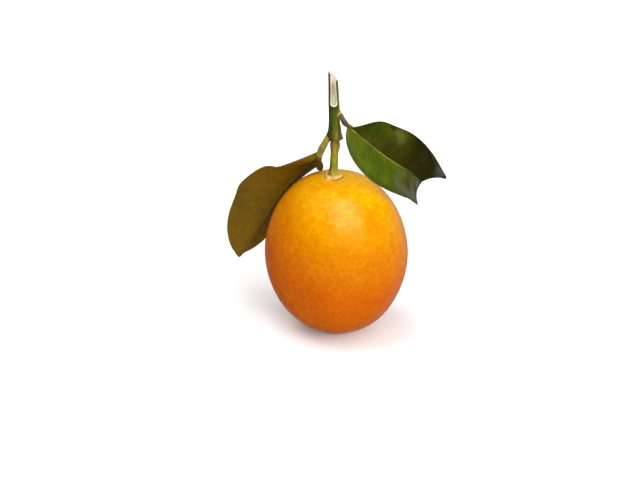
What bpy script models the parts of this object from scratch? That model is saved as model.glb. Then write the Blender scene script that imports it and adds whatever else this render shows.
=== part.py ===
"""A round kumquat as picked: the fruit, its calyx, a piece of twig and two leaves.

Metres, +Z up. The origin is the centre of the small flat spot that the fruit rests on.
+X is the viewer's right and +Y runs away from the viewer. The stem end is on top, and
the fruit's own axis leans a little towards -X.
"""

import math
from dataclasses import dataclass

import bmesh
import bpy
import numpy as np
from mathutils import Matrix, Vector

OBJECT = "kumquat"
WELD = 1e-6  # corners nearer than this are one
FULL_TURN = 2 * math.pi
SHARP_ANGLE = math.radians(40)

# Fruit. It is a little taller than wide, dimpled round the stem and flat at the blossom end.
FRUIT_RADIUS = 0.0150
FRUIT_TOP = 0.0179  # from the widest level up to the crown, before the dimple
FRUIT_BOTTOM = 0.0182  # from the widest level down to the blossom end, before the flat
FRUIT_CENTRE = Vector((0, 0, 0.0176))
FRUIT_LEAN = math.radians(2.2)
FRUIT_SWELL = 0.006  # how far out of round it is, as a share of its radius
FRUIT_OVAL_TURN = 0.6  # radians by which its two-lobed swelling is turned
FRUIT_THREE_TURN = 2.0  # the same for its three-lobed one
FRUIT_THREE_SHARE = 0.6  # height of the three-lobed swelling, as a share of the other's
DIMPLE_DEPTH = 0.0010
DIMPLE_REACH = 0.0035
BLOSSOM_DEPTH = 0.00035
BLOSSOM_REACH = 0.0040
FRUIT_SEGMENTS = 60
FRUIT_RINGS = 38

# Calyx. A shallow disc of five lobes in the dimple, raised in the middle round the stem.
GAP = 0.0003  # left between pieces that touch
CALYX_RADIUS = 0.0019
CALYX_LOBES = 5
CALYX_LOBE_DEPTH = 0.10  # as a share of its radius
CALYX_RIM = 0.00045
CALYX_BOSS = 0.00055
CALYX_BOSS_REACH = 0.6  # as a share of its radius
CALYX_SEGMENTS = 60
CALYX_RINGS = 16

# Twig. The rows are x, y, z and radius. The stem runs from the calyx up into the node,
# and the shoot goes on from there to where it was cut off.
STEM = [
    (-0.00068, 0.00005, 0.03585, 0.00104),
    (-0.00062, 0.00007, 0.03680, 0.00090),
    (-0.00052, 0.00010, 0.03850, 0.00085),
    (-0.00040, 0.00016, 0.04060, 0.00087),
    (-0.00034, 0.00020, 0.04130, 0.00102),
    (-0.00034, 0.00023, 0.04190, 0.00106),
    (-0.00035, 0.00026, 0.04245, 0.00092),
    (-0.00037, 0.00032, 0.04400, 0.00090),
]
SHOOT = [
    (-0.00037, 0.00030, 0.04290, 0.00125),
    (-0.00040, 0.00034, 0.04400, 0.00140),
    (-0.00048, 0.00050, 0.04620, 0.00122),
    (-0.00059, 0.00080, 0.04990, 0.00113),
    (-0.00074, 0.00115, 0.05400, 0.00103),
    (-0.00086, 0.00145, 0.05800, 0.00097),
]
LEFT_CUSHION = [  # the swelling that the left leaf grows on
    (-0.00060, 0.00042, 0.04590, 0.00070),
    (-0.00110, 0.00052, 0.04470, 0.00072),
    (-0.00160, 0.00060, 0.04345, 0.00066),
]
RIGHT_CUSHION = [
    (-0.00010, 0.00055, 0.04960, 0.00050),
    (0.00045, 0.00020, 0.04890, 0.00048),
    (0.00098, -0.00022, 0.04815, 0.00044),
]
BUD = [
    (-0.00020, 0.00030, 0.04480, 0.00075),
    (0.00045, 0.00028, 0.04395, 0.00062),
    (0.00100, 0.00026, 0.04345, 0.00036),
    (0.00138, 0.00024, 0.04335, 0.00012),
]
CUT_FOOT = 0.0499  # height at which the long cut face begins
CUT_DEPTH = 0.00082  # from the shoot's axis forward to the cut face
CUT_SLOPE = math.radians(40)  # of the face's foot
END_HEIGHT = 0.0565  # where the slanting end crosses the shoot's axis
END_SLOPE = math.radians(46)
CUTTER_SIZE = 0.02
TUBE_STEPS = 4  # stations to each stretch between two points
TUBE_BEVEL = 5  # fourteen sides

# Leaves
BLADE_THICKNESS = 0.0006
BLADE_ACROSS = 14
BLADE_ALONG = 26
BLADE_END = 0.0005  # half the width at the very base and the very tip
MIDRIB_END = 0.90  # share of the blade's length
MIDRIB_STATIONS = 9
MIDRIB_BASE_RADIUS = 0.00044
MIDRIB_TIP_RADIUS = 0.00036
MIDRIB_DROP = 0.00010  # how far the rib lies below the blade's middle


@dataclass
class Half:
    """Half a blade. The four angles are at the base, one third, two thirds and the tip."""

    width: float
    fold: tuple  # degrees by which it rises from the midrib towards the upper side
    cup: tuple  # degrees by which it bends further up from the midrib to the margin


@dataclass
class Leaf:
    """One leaf. Left and right are as seen from above with the tip ahead."""

    petiole: list  # rows of x, y, z and radius, from the twig to the blade
    midrib: list  # rows of x, y, z, from the blade's base to its tip
    face: tuple  # the way that the upper side faces at the base
    fullness: tuple  # powers of the outline; the smaller, the rounder the base and the tip
    left: Half
    right: Half
    wave: float  # height of the margin's waves
    waves: float  # how many there are along the blade
    colour: tuple


LEAVES = {
    "leaf_right": Leaf(
        petiole=[
            (0.00118, -0.00040, 0.04785, 0.00044),
            (0.00155, -0.00068, 0.04738, 0.00050),
            (0.00200, -0.00125, 0.04705, 0.00046),
        ],
        midrib=[
            (0.00247, -0.00197, 0.04676),
            (0.00641, -0.00225, 0.04318),
            (0.01077, -0.00209, 0.03953),
            (0.01447, -0.00137, 0.03687),
            (0.01624, -0.00078, 0.03540),
            (0.01744, -0.00011, 0.03403),
            (0.01747, 0.00399, 0.03231),
            (0.01587, 0.00762, 0.03164),
        ],
        face=(0.08, -0.90, 0.40),
        fullness=(0.6, 0.75),
        left=Half(width=0.0070, fold=(93, 2, 22, -18), cup=(0, -21, 47, -4)),
        right=Half(width=0.0067, fold=(21, 25, -3, -30), cup=(0, 1, 64, -8)),
        wave=0.0002,
        waves=2.0,
        colour=(0.060, 0.130, 0.020, 1),
    ),
    "leaf_left": Leaf(
        petiole=[
            (-0.00182, 0.00065, 0.04290, 0.00066),
            (-0.00235, 0.00090, 0.04170, 0.00070),
            (-0.00290, 0.00120, 0.04040, 0.00068),
            (-0.00335, 0.00160, 0.03890, 0.00062),
        ],
        midrib=[
            (-0.00367, 0.00207, 0.03791),
            (-0.00589, 0.00624, 0.03502),
            (-0.00812, 0.00779, 0.03195),
            (-0.01090, 0.00771, 0.02863),
            (-0.01393, 0.00822, 0.02387),
            (-0.01724, 0.00959, 0.01783),
            (-0.02110, 0.01179, 0.01058),
        ],
        face=(0.10, 0.73, 0.61),
        fullness=(0.75, 0.75),
        left=Half(width=0.0094, fold=(-34, -5, 51, 0), cup=(-15, -2, -2, -7)),
        right=Half(width=0.0075, fold=(6, 38, 48, 24), cup=(0, 0, 0, 0)),
        wave=0.0022,
        waves=1.23,
        colour=(0.110, 0.070, 0.015, 1),
    ),
}

COLOURS = {
    "fruit": (0.900, 0.330, 0.012, 1),
    "calyx": (0.520, 0.420, 0.180, 1),
    "twig": (0.130, 0.150, 0.030, 1),
}
ROUGHNESS = {"fruit": 0.35, "calyx": 0.65, "twig": 0.55}
LEAF_ROUGHNESS = 0.3


def clear_scene():
    """Leave an empty scene with one collection for the object."""
    for thing in list(bpy.data.objects):
        bpy.data.objects.remove(thing, do_unlink=True)
    collection = bpy.data.collections.new(OBJECT)
    bpy.context.scene.collection.children.link(collection)
    return collection


def material(name, colour, roughness):
    """A Principled material of one colour."""
    made = bpy.data.materials.new(name)
    made.use_nodes = True
    shader = made.node_tree.nodes["Principled BSDF"]
    shader.inputs["Base Color"].default_value = colour
    shader.inputs["Roughness"].default_value = roughness
    shader.inputs["Metallic"].default_value = 0.0
    return made


def add_mesh(name, bm, collection):
    """An object of the bmesh, which is freed."""
    mesh = bpy.data.meshes.new(name)
    bm.to_mesh(mesh)
    bm.free()
    thing = bpy.data.objects.new(name, mesh)
    collection.objects.link(thing)
    return thing


def evaluated_mesh(thing):
    """The object's mesh with its modifiers, or a curve as a mesh."""
    depsgraph = bpy.context.evaluated_depsgraph_get()
    return bpy.data.meshes.new_from_object(thing.evaluated_get(depsgraph))


def apply_modifiers(thing):
    """Give the object the mesh that its modifiers make."""
    mesh = evaluated_mesh(thing)
    thing.modifiers.clear()
    thing.data = mesh


def combine(thing, others, operation, solver="EXACT"):
    """Unite the other objects with this one, or cut them out of it, and remove them."""
    for other in others:
        boolean = thing.modifiers.new(other.name, "BOOLEAN")
        boolean.operation = operation
        boolean.solver = solver
        boolean.object = other
    apply_modifiers(thing)
    for other in others:
        bpy.data.objects.remove(other, do_unlink=True)


def natural_curve(points, shares):
    """Places at the given shares of the smooth curve through the points."""
    rows = np.array(points)
    knots = np.append(0, np.cumsum(np.linalg.norm(np.diff(rows, axis=0), axis=1)))
    steps = np.diff(knots)
    system = np.eye(len(rows))
    jumps = np.zeros_like(rows)
    for i in range(1, len(rows) - 1):
        system[i, i - 1 : i + 2] = steps[i - 1], 2 * (steps[i - 1] + steps[i]), steps[i]
        jumps[i] = (rows[i + 1] - rows[i]) / steps[i] - (rows[i] - rows[i - 1]) / steps[i - 1]
    bends = np.linalg.solve(system, 6 * jumps)
    places = knots[-1] * np.asarray(shares)
    i = np.clip(np.searchsorted(knots, places, side="right") - 1, 0, len(steps) - 1)
    step = steps[i][:, None]
    after = (places - knots[i])[:, None] / step
    before = 1 - after
    chord = before * rows[i] + after * rows[i + 1]
    bulge = (before**3 - before) * bends[i] + (after**3 - after) * bends[i + 1]
    return chord + bulge * step**2 / 6


def tube(name, rows, collection):
    """A capped round tube through rows of x, y, z and radius, as a mesh object."""
    rows = np.array(rows)
    lengths = np.linalg.norm(np.diff(rows[:, :3], axis=0), axis=1)
    knots = np.append(0, np.cumsum(lengths)) / lengths.sum()
    shares = np.linspace(0, 1, TUBE_STEPS * (len(rows) - 1) + 1)
    path = natural_curve(rows[:, :3], shares)
    radii = np.interp(shares, knots, rows[:, 3])
    curve = bpy.data.curves.new(name, "CURVE")
    curve.dimensions = "3D"
    curve.bevel_depth = 1.0  # so that a point's radius is in metres
    curve.bevel_resolution = TUBE_BEVEL
    curve.use_fill_caps = True
    spline = curve.splines.new("POLY")
    spline.points.add(len(path) - 1)
    for point, place, radius in zip(spline.points, path, radii):
        point.co = (*place, 1)
        point.radius = radius
    guide = bpy.data.objects.new(name + "_curve", curve)
    collection.objects.link(guide)
    bm = bmesh.new()
    bm.from_mesh(evaluated_mesh(guide))
    bmesh.ops.remove_doubles(bm, verts=bm.verts, dist=WELD)
    bpy.data.objects.remove(guide, do_unlink=True)
    return add_mesh(name, bm, collection)


def crown_height(across):
    """Height of the skin over the fruit's centre, at a distance from its axis."""
    dome = FRUIT_TOP * math.sqrt(1 - (across / FRUIT_RADIUS) ** 2)
    return dome - DIMPLE_DEPTH * math.exp(-((across / DIMPLE_REACH) ** 2))


def skin_point(direction):
    """The place on the skin, in the fruit's own frame, for a unit direction."""
    turn = math.atan2(direction.y, direction.x)
    level = direction.z
    waist = 1 - level * level
    lobes = math.cos(2 * turn + FRUIT_OVAL_TURN)
    lobes += FRUIT_THREE_SHARE * math.cos(3 * turn + FRUIT_THREE_TURN)
    across = FRUIT_RADIUS * math.sqrt(waist) * (1 + FRUIT_SWELL * waist * lobes)
    if level > 0:
        height = FRUIT_TOP * level
        height -= DIMPLE_DEPTH * math.exp(-((across / DIMPLE_REACH) ** 2))
    else:
        height = FRUIT_BOTTOM * level
        height += BLOSSOM_DEPTH * math.exp(-((across / BLOSSOM_REACH) ** 2))
    return Vector((across * math.cos(turn), across * math.sin(turn), height))


def make_fruit(collection, frame):
    """The fruit, cut off level where it rests."""
    bm = bmesh.new()
    bmesh.ops.create_uvsphere(bm, u_segments=FRUIT_SEGMENTS, v_segments=FRUIT_RINGS, radius=1)
    for vertex in bm.verts:
        vertex.co = frame @ skin_point(vertex.co.normalized())
    everything = bm.verts[:] + bm.edges[:] + bm.faces[:]
    bmesh.ops.bisect_plane(
        bm, geom=everything, plane_co=(0, 0, 0), plane_no=(0, 0, 1), clear_inner=True
    )
    rim = [edge for edge in bm.edges if edge.is_boundary]
    bmesh.ops.edgeloop_fill(bm, edges=rim)
    bmesh.ops.recalc_face_normals(bm, faces=bm.faces)
    return add_mesh("fruit", bm, collection)


def make_calyx(collection, frame):
    """The calyx, a flattened ball whose underside follows the dimple."""
    bm = bmesh.new()
    bmesh.ops.create_uvsphere(
        bm, u_segments=CALYX_SEGMENTS, v_segments=CALYX_RINGS, radius=1
    )
    for vertex in bm.verts:
        share = min(math.hypot(vertex.co.x, vertex.co.y), 1)
        turn = math.atan2(vertex.co.y, vertex.co.x)
        lobe = 1 + CALYX_LOBE_DEPTH * math.cos(CALYX_LOBES * turn)
        across = CALYX_RADIUS * share * lobe
        height = crown_height(across) + GAP
        if vertex.co.z > 0:
            height += CALYX_RIM * (1 - share**6)
            height += CALYX_BOSS * math.exp(-((share / CALYX_BOSS_REACH) ** 4))
        place = Vector((across * math.cos(turn), across * math.sin(turn), height))
        vertex.co = frame @ place
    return add_mesh("calyx", bm, collection)


def make_twig(collection):
    """The stem, node, cushions, bud and cut shoot in one piece."""
    twig = tube("twig", STEM, collection)
    limbs = {
        "shoot": SHOOT,
        "left_cushion": LEFT_CUSHION,
        "right_cushion": RIGHT_CUSHION,
        "bud": BUD,
    }
    combine(twig, [tube(name, rows, collection) for name, rows in limbs.items()], "UNION")

    foot = Vector(natural_curve([row[:3] for row in SHOOT], [0.0])[0])
    top = Vector(SHOOT[-1][:3])
    axis = (top - foot).normalized()
    lean = Vector((0, 0, 1)).rotation_difference(axis).to_matrix().to_4x4()

    def on_axis(height):
        return foot + axis * ((height - foot.z) / axis.z)

    # The long face is the back of a box in front of the shoot, whose bottom slopes inwards.
    half = CUTTER_SIZE / 2
    forward = lean.to_3x3() @ Vector((0, -1, 0))
    face = bmesh.new()
    bmesh.ops.create_cube(face, size=CUTTER_SIZE)
    bmesh.ops.translate(face, verts=face.verts, vec=(0, -half, half))
    for vertex in face.verts:
        if vertex.co.z < half:
            vertex.co.z = vertex.co.y * math.tan(CUT_SLOPE)
    face_cutter = add_mesh("face_cutter", face, collection)
    foot_of_face = Matrix.Translation(on_axis(CUT_FOOT) + forward * CUT_DEPTH)
    face_cutter.matrix_world = foot_of_face @ lean

    end = bmesh.new()
    bmesh.ops.create_cube(end, size=CUTTER_SIZE)
    bmesh.ops.translate(end, verts=end.verts, vec=(0, 0, half))
    end_cutter = add_mesh("end_cutter", end, collection)
    slant = Matrix.Rotation(END_SLOPE, 4, "Y")
    end_cutter.matrix_world = Matrix.Translation(on_axis(END_HEIGHT)) @ slant
    combine(twig, [face_cutter, end_cutter], "DIFFERENCE")
    return twig


def spine_frames(leaf, shares):
    """Place, upward and leftward directions at stations along the midrib."""
    path = natural_curve(leaf.midrib, shares)
    ahead = np.gradient(path, np.asarray(shares), axis=0)
    ahead /= np.linalg.norm(ahead, axis=1)[:, None]
    up = np.array(leaf.face, float)
    frames = []
    for place, forward in zip(path, ahead):
        up = up - forward * (up @ forward)
        up /= np.linalg.norm(up)
        frames.append((place, up, np.cross(up, forward)))
    return frames


def along_blade(values, share):
    """The smooth change along the blade through four evenly spaced values."""
    return np.polyval(np.polyfit([0, 1 / 3, 2 / 3, 1], values, 3), share)


def half_width(powers, share):
    """Half the blade's width at a share of its length, where its widest is 1."""
    base, tip = powers
    widest = base / (base + tip)
    return (share / widest) ** base * ((1 - share) / (1 - widest)) ** tip


def blade_place(leaf, share, frame, across):
    """Middle of the blade at a share of its length; across runs from -1, right, to 1, left.

    Each cross-section is an arc from the midrib to either margin.
    """
    place, up, left = frame
    half = leaf.left if across > 0 else leaf.right
    out = abs(across)
    width = BLADE_END + (half.width - BLADE_END) * half_width(leaf.fullness, share)
    bend = math.radians(along_blade(half.cup, share)) * out / 2
    rise = math.radians(along_blade(half.fold, share)) + bend
    chord = width * out * np.sinc(bend / math.pi)
    wave = leaf.wave * out**2 * math.sin(FULL_TURN * leaf.waves * share + across)
    reach = math.copysign(chord * math.cos(rise), across)
    return place + left * reach + up * (chord * math.sin(rise) + wave)


def make_leaf(name, leaf, collection):
    """A folded and curved blade of even thickness, with its midrib and petiole."""
    shares = [(1 - math.cos(math.pi * i / BLADE_ALONG)) / 2 for i in range(BLADE_ALONG + 1)]
    stations = spine_frames(leaf, shares)
    bm = bmesh.new()
    bmesh.ops.create_grid(bm, x_segments=BLADE_ACROSS, y_segments=BLADE_ALONG, size=1)
    for vertex in bm.verts:
        i = round((vertex.co.y + 1) / 2 * BLADE_ALONG)
        vertex.co = blade_place(leaf, shares[i], stations[i], -vertex.co.x)
    bmesh.ops.triangulate(bm, faces=bm.faces, quad_method="FIXED")
    blade = add_mesh(name, bm, collection)
    solidify = blade.modifiers.new("thickness", "SOLIDIFY")
    solidify.thickness = BLADE_THICKNESS
    solidify.offset = 0
    apply_modifiers(blade)

    rib_shares = np.linspace(0, MIDRIB_END, MIDRIB_STATIONS)
    rib_radii = np.linspace(MIDRIB_BASE_RADIUS, MIDRIB_TIP_RADIUS, MIDRIB_STATIONS)
    rib = [
        (*(place - up * MIDRIB_DROP), radius)
        for radius, (place, up, _) in zip(rib_radii, spine_frames(leaf, rib_shares))
    ]
    rib_tube = tube(name + "_rib", leaf.petiole + rib, collection)
    combine(blade, [rib_tube], "UNION", "MANIFOLD")
    return blade


def main():
    """Build every piece."""
    collection = clear_scene()
    frame = Matrix.Translation(FRUIT_CENTRE) @ Matrix.Rotation(-FRUIT_LEAN, 4, "Y")
    pieces = [
        make_fruit(collection, frame),
        make_calyx(collection, frame),
        make_twig(collection),
    ]
    for piece in pieces:
        name = piece.name
        piece.data.materials.clear()
        piece.data.materials.append(material(name, COLOURS[name], ROUGHNESS[name]))
    for name, leaf in LEAVES.items():
        blade = make_leaf(name, leaf, collection)
        blade.data.materials.clear()
        blade.data.materials.append(material(name, leaf.colour, LEAF_ROUGHNESS))
        pieces.append(blade)
    for piece in pieces:
        piece.data.shade_smooth()
        piece.data.set_sharp_from_angle(angle=SHARP_ANGLE)


main()
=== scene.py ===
"""Visual model of the kumquat: fruit, calyx, twig and two leaves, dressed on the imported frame.

Metres, in the frame of the CAD model: the origin is the centre of the flat spot that the
fruit rests on, +Z is up, +X is the viewer's right and +Y runs away from the viewer.
"""

import math
from dataclasses import dataclass

import bmesh
import bpy
import numpy as np
from mathutils import Matrix, Vector, kdtree

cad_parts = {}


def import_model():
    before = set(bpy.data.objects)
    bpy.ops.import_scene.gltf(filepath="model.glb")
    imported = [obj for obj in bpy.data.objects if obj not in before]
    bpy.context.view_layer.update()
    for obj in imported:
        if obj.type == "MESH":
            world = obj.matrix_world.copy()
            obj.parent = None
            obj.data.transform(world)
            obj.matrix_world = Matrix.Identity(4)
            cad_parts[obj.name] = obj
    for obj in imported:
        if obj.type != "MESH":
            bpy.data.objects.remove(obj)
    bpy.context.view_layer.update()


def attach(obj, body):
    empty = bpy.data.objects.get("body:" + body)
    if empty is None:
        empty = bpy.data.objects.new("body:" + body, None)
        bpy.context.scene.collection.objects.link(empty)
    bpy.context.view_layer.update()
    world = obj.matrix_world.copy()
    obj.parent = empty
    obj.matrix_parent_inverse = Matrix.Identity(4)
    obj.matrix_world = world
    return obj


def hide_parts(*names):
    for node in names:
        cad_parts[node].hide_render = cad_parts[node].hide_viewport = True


MM = 0.001
FULL_TURN = 2 * math.pi
SEED = 7
FLAT_BELL = 4  # the power that gives a bell a flat top

# Camera, as the photograph was taken
CAMERA_PLACE = Vector((-0.003465, -0.406856, 0.209884))
CAMERA_TARGET = Vector((-0.003465, 0.000982, 0.019706))
CAMERA_LENS = 119.81
CAMERA_SENSOR = 36.0
CAMERA_CLIP = 0.01

# Square lamps: place, size and power
KEY = (Vector((0.50, -0.75, 0.95)), 2.0, 19.0)
GLINT = (Vector((0.27, -0.56, 1.08)), 1.0, 25.0)
TOP = (Vector((-0.42, 0.02, 1.18)), 1.0, 10.0)
FILL = (Vector((0.75, -1.30, 0.80)), 1.0, 12.0)
LAMP_TARGET = Vector((0, 0, 0.03))

# Floor and surroundings
FLOOR_SIZE = 3
FLOOR_GAP = 0.00002  # keeps the floor out of the plane of the flat spot
FLOOR_GLOW = 0.13
WORLD_COLOUR = (0.94, 0.96, 1)
WORLD_FRONT = 0.05
WORLD_REAR = 0.36
WORLD_BRIGHT = (0.45, 0.89, 0.0)  # the direction where the surroundings are bright
WORLD_TURN = (0.2, 0.95)  # cosines of the angles to it between which they brighten

# Fruit
FRUIT_RADIUS = 0.0150
FRUIT_TOP = 0.0179
FRUIT_BOTTOM = 0.0182
FRUIT_CENTRE = Vector((0, 0, 0.0176))
FRUIT_LEAN = math.radians(2.2)
FRUIT_SWELL = 0.006
FRUIT_OVAL_TURN = 0.6
FRUIT_THREE_TURN = 2.0
FRUIT_THREE_SHARE = 0.6
DIMPLE_DEPTH = 0.0010
DIMPLE_REACH = 0.0035
BLOSSOM_DEPTH = 0.00035
BLOSSOM_REACH = 0.0040
SCAR_RADIUS = 0.0008
SCAR_DEPTH = 0.00022
SMOOTH_TOP = 0.0030  # the skin is smooth this far from the stalk's axis
SMOOTH_FOOT = 0.0022
UNEVEN_HEIGHT = 0.000025
UNEVEN_WAVES = (((9, 4, 3), 0.3), ((-5, 8, 6), 1.9), ((3, -7, 9), 4.0), ((14, 9, -11), 2.2))

# Oil glands of the peel
GLAND_PATTERN = 5  # subdivisions of the even pattern
GLAND_SHIFT = 0.30  # how far a gland is moved off the even pattern, as a share of the spacing
GLAND_RADIUS = (0.00030, 0.00042)
GLAND_DEPTH = 0.000035
GLAND_SPREAD = 1.1  # radius of its pit, as a share of its own
FAINT_GLAND_SHARE = 0.04
FAINT_GLAND_SIZE = 0.3
SMALL_GLAND_SHARE = 0.10
SMALL_GLAND_RADIUS = 0.00014
SMALL_GLAND_RISE = 0.25  # makes a small gland shallower
GLAND_PLAIN = 2.0  # distance from a gland, in its radii, that smooth skin is given
GLAND_LIMIT = 2.2
PEEL_CUTS = 5

# Calyx
CALYX_RADIUS = 0.0019
CALYX_LOBES = 5
CALYX_LOBE_DEPTH = 0.05
CALYX_RIM = 0.00045
CALYX_BOSS = 0.00055
CALYX_CREASE = 0.00007
CALYX_WAVE = 0.00003
CALYX_THINNEST = 0.00003
CALYX_SINK = 0.00005  # how far its underside lies in the skin
CALYX_UNDERCUT = 0.985
CALYX_SIDES = 180
CALYX_RINGS = 22
CALYX_OUTLINE = ((0.020, 11, 1.0), (0.014, 17, 2.6), (0.02, 2, 0.0))  # share, waves, turn
CALYX_DROP = 16  # the power with which it thins towards the rim
CALYX_BOSS_REACH = 0.6  # share of the radius
CALYX_WAVES = (9, 5)  # round it and outwards
CALYX_MERGE = 1e-7

# Twig: rows of x, y, z and radius
STEM = [
    (-0.00070, 0.00005, 0.03500, 0.00112),
    (-0.00068, 0.00005, 0.03585, 0.00104),
    (-0.00062, 0.00007, 0.03680, 0.00090),
    (-0.00052, 0.00010, 0.03850, 0.00085),
    (-0.00040, 0.00016, 0.04060, 0.00087),
    (-0.00034, 0.00020, 0.04130, 0.00102),
    (-0.00034, 0.00023, 0.04190, 0.00106),
    (-0.00035, 0.00026, 0.04245, 0.00092),
    (-0.00037, 0.00032, 0.04400, 0.00090),
]
SHOOT = [
    (-0.00037, 0.00030, 0.04290, 0.00125),
    (-0.00040, 0.00034, 0.04400, 0.00140),
    (-0.00048, 0.00050, 0.04620, 0.00122),
    (-0.00059, 0.00080, 0.04990, 0.00113),
    (-0.00074, 0.00115, 0.05400, 0.00103),
    (-0.00086, 0.00145, 0.05800, 0.00097),
]
LEFT_CUSHION = [
    (-0.00060, 0.00042, 0.04590, 0.00070),
    (-0.00110, 0.00052, 0.04470, 0.00072),
    (-0.00160, 0.00060, 0.04345, 0.00066),
]
RIGHT_CUSHION = [
    (-0.00010, 0.00055, 0.04960, 0.00050),
    (0.00045, 0.00020, 0.04890, 0.00048),
    (0.00098, -0.00022, 0.04815, 0.00044),
]
BUD = [
    (-0.00020, 0.00030, 0.04480, 0.00085),
    (0.00045, 0.00028, 0.04385, 0.00070),
    (0.00095, 0.00026, 0.04325, 0.00046),
    (0.00130, 0.00024, 0.04308, 0.00018),
]
CUT_ROW = 3  # the row of the shoot near the foot of the long cut face
CUT_FOOT = 0.0501
CUT_DEPTH = 0.00082
CUT_RUN = 0.0011  # length over which the cut curves in to its full depth
CUT_STEPS = 14
CUT_CURVE = 2.2
CUT_SPARE = 0.00012  # how far outside the bark the cut starts
CUT_FACE = ((0.00002, 0.0030), (-0.00003, 0.0055), (-0.00002, 0.012))  # depth, height
CUT_BACK = 0.006
CUT_WIDTH = 0.004
END_HEIGHT = 0.0565
END_SLOPE = math.radians(46)
CUTTER_SIZE = 0.02
SHARP_ANGLE = math.radians(38)
TWIG_SIDES = 40
TWIG_STEPS = 12
TWIG_VOXEL = 0.00006
TWIG_SMOOTHING = (0.6, 9)  # strength and rounds
TWIG_RIDGE = 0.000026
TWIG_RIDGES = [  # share of the height, number round it, twist and start
    (0.5, 5, 0.25, 0.0),
    (0.35, 9, -0.35, 1.0),
    (0.25, 14, 0.6, 2.0),
]
TWIG_KNOTS = 0.3  # share of the height
AXIS_POINTS = 60
STEM_END = 0.0428  # above it the ridges run round the shoot's axis

# Domed ends of tubes
DOME_HEIGHT = 0.35  # share of the radius
DOME_LIFTS = (0.3, 0.6, 0.9)
TUBE_SEAM = (0.3, 0.9, 0.2)  # sets where the first side of a tube is

# Leaves
BLADE_THICKNESS = 0.00030
BLADE_END = 0.0005
BLADE_STATIONS = 230
SHOULDER_PLACE = 0.05  # share of the blade's length
WAIST_PLACE = 0.11
WAIST_REACH = 0.08
DROOP_PLACE = 0.10
DROOP_REACH = 0.08
MARGIN = 0.955  # share of the half's width where the rounded margin starts
AT_MIDRIB = 1e-9  # the midrib's own place across, which belongs to the left half
VEIN_SPACING = 0.085  # share of the blade's length
VEIN_RUN = 0.16  # how far towards the tip a vein runs on its way to the margin
VEIN_CURVE = 0.05
VEIN_WAVER = 0.10
VEIN_WAVES = 11
VEIN_STAGGER = 0.35
VEIN_WIDTH = 0.0055
SMALL_VEIN_WIDTH = 0.0045
SMALL_VEIN_SHARE = 0.35
VEIN_DEPTH = 0.000012
VEIN_HEIGHT = 0.000025
VEIN_REACH = 0.97  # share of the half's width where the veins end
VEIN_FADES = (0.25, 0.06, 0.05)  # shares over which they fade: margin, midrib, both ends
QUILT_HEIGHT = 0.000016
RIB_RADIUS = 0.00042
RIB_TAPER = 0.00026
RIB_HEIGHT = 0.00042
RIB_LOWERING = 0.6  # share of its height that it loses towards the tip
RIB_END = (0.98, 0.08)  # where it ends and over which share of the length it fades
GROOVE_RADIUS = 0.00017
GROOVE_DEPTH = 0.00007
GROOVE_END = (0.95, 0.2)
BLADE_THINNING = 0.25  # share of its thickness that it loses towards the margin
BLADE_ROUNDING = 0.004  # share of the length over which its ends are rounded

# Petiole, which runs on under the blade as its midrib
PETIOLE_SIDES = 28
PETIOLE_STEPS = 90
ROOT_SHARES = np.linspace(0, 1, 41)
ROOT_PICK = slice(0, 13, 3)
ROOT_START = 0.9
ROOT_END = 0.00018
ROOT_DROP = 0.00012


@dataclass
class Half:
    """Half a blade. The four angles are at the base, one third, two thirds and the tip."""

    width: float
    fold: tuple
    cup: tuple
    calm: float = 0.001  # share of the blade over which the wave sets in
    shoulder: float = 0.0  # extra width close to the base
    waist: float = 0.0  # share of the width that is missing a little further on
    droop: float = 0.0  # degrees that the half hangs lower near the base


@dataclass
class Leaf:
    """One leaf. Left and right are as seen from above with the tip ahead."""

    petiole: list
    midrib: list
    face: tuple
    fullness: tuple
    left: Half
    right: Half
    wave: float
    waves: float


RIGHT_LEAF = Leaf(
    petiole=[
        (0.00073, -0.00010, 0.04865, 0.00044),
        (0.00118, -0.00045, 0.04775, 0.00052),
        (0.00155, -0.00078, 0.04715, 0.00057),
        (0.00200, -0.00125, 0.04680, 0.00050),
    ],
    midrib=[
        (0.00247, -0.00197, 0.04676),
        (0.00641, -0.00225, 0.04318),
        (0.01077, -0.00209, 0.03953),
        (0.01447, -0.00137, 0.03687),
        (0.01624, -0.00078, 0.03540),
        (0.01744, -0.00011, 0.03403),
        (0.01747, 0.00399, 0.03231),
        (0.01587, 0.00762, 0.03164),
    ],
    face=(0.08, -0.90, 0.40),
    fullness=(0.6, 0.75),
    left=Half(width=0.0070, fold=(93, 2, 22, -18), cup=(0, -21, 47, -4)),
    right=Half(width=0.0067, fold=(21, 25, -3, -30), cup=(0, 1, 64, -8)),
    wave=0.0002,
    waves=2.0,
)
LEFT_LEAF = Leaf(
    petiole=[
        (-0.00160, 0.00058, 0.04360, 0.00058),
        (-0.00195, 0.00065, 0.04290, 0.00066),
        (-0.00252, 0.00090, 0.04170, 0.00069),
        (-0.00312, 0.00120, 0.04040, 0.00076),
        (-0.00354, 0.00160, 0.03890, 0.00064),
    ],
    midrib=[
        (-0.00367, 0.00207, 0.03791),
        (-0.00589, 0.00624, 0.03502),
        (-0.00812, 0.00779, 0.03195),
        (-0.01090, 0.00771, 0.02863),
        (-0.01393, 0.00822, 0.02387),
        (-0.01724, 0.00959, 0.01783),
        (-0.02110, 0.01179, 0.01058),
    ],
    face=(0.10, 0.73, 0.61),
    fullness=(0.75, 0.75),
    left=Half(
        width=0.0094,
        fold=(-34, -5, 51, 0),
        cup=(-15, -2, -2, -7),
        shoulder=0.0008,
    ),
    right=Half(
        width=0.0075,
        fold=(-20, 38, 48, 24),
        cup=(0, 0, 0, 0),
        calm=0.12,
        shoulder=0.0007,
        waist=0.64,
        droop=42,
    ),
    wave=0.0022,
    waves=1.23,
)


# Meshes


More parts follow.
